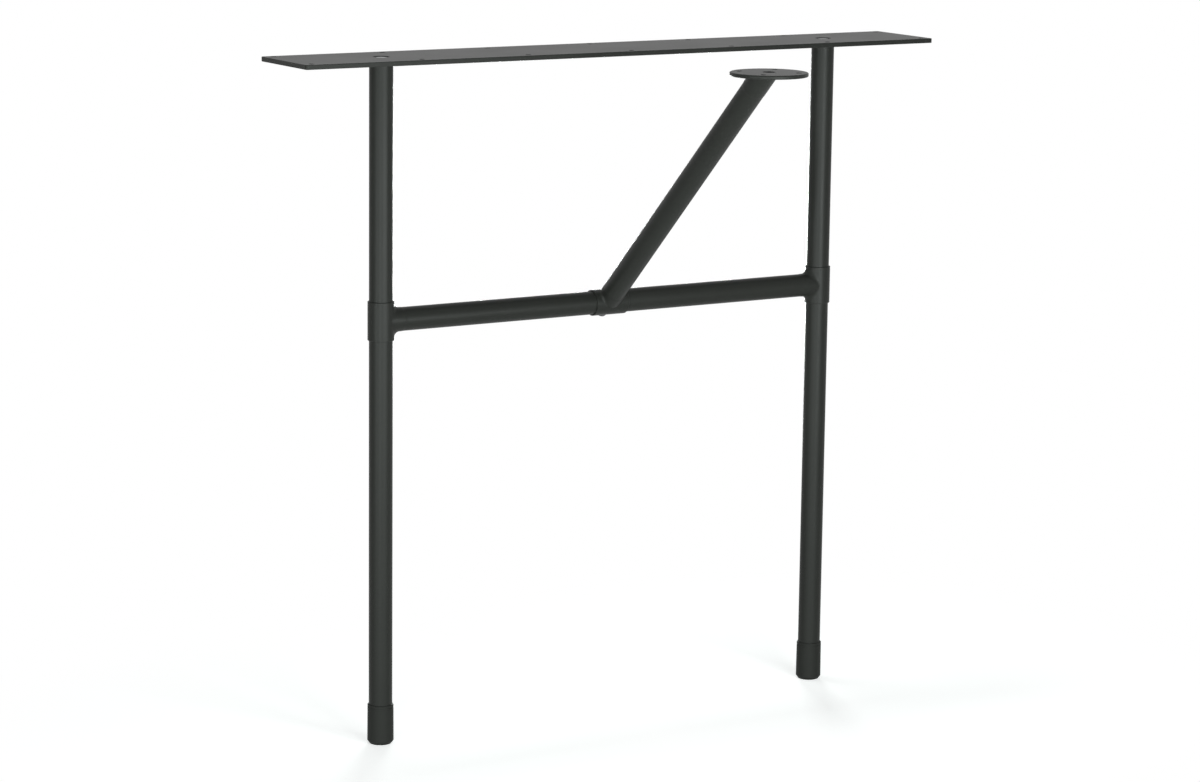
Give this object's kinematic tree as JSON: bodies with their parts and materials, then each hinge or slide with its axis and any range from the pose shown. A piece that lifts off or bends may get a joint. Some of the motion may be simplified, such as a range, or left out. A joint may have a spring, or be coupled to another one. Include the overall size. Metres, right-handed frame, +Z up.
{
  "type": "table leg",
  "caption": "Braced H-frame table leg of round steel tube: long screw plate on top, cross tube with welded sleeves, slanting brace to a screw disc, black ferrule feet.",
  "frame": {"origin": "centre of the mounting plate's upper face, which lies against the underside of a table top", "axes": "+X along the mounting plate, +Y across it away from the brace, +Z up"},
  "size_m": [0.776, 0.3945, 0.73],
  "materials": {
    "powder_coat": "satin black-grey powder coat",
    "zinc_steel": "bright zinc plate",
    "black_screw": "black oxide",
    "ferrule": "smooth black rubber"
  },
  "bodies": {
    "root": {"mounting_plate": "powder_coat", "left_leg_tube": "powder_coat", "right_leg_tube": "powder_coat", "left_leg_plug": "zinc_steel", "right_leg_plug": "zinc_steel", "left_plate_screw": "zinc_steel", "right_plate_screw": "zinc_steel", "left_tee_collar": "powder_coat", "right_tee_collar": "powder_coat", "cross_tube": "powder_coat", "brace_collar": "powder_coat", "brace_tube": "powder_coat", "brace_disc": "powder_coat", "brace_lock_screw": "black_screw", "left_foot": "ferrule", "right_foot": "ferrule"}
  },
  "joints": []
}
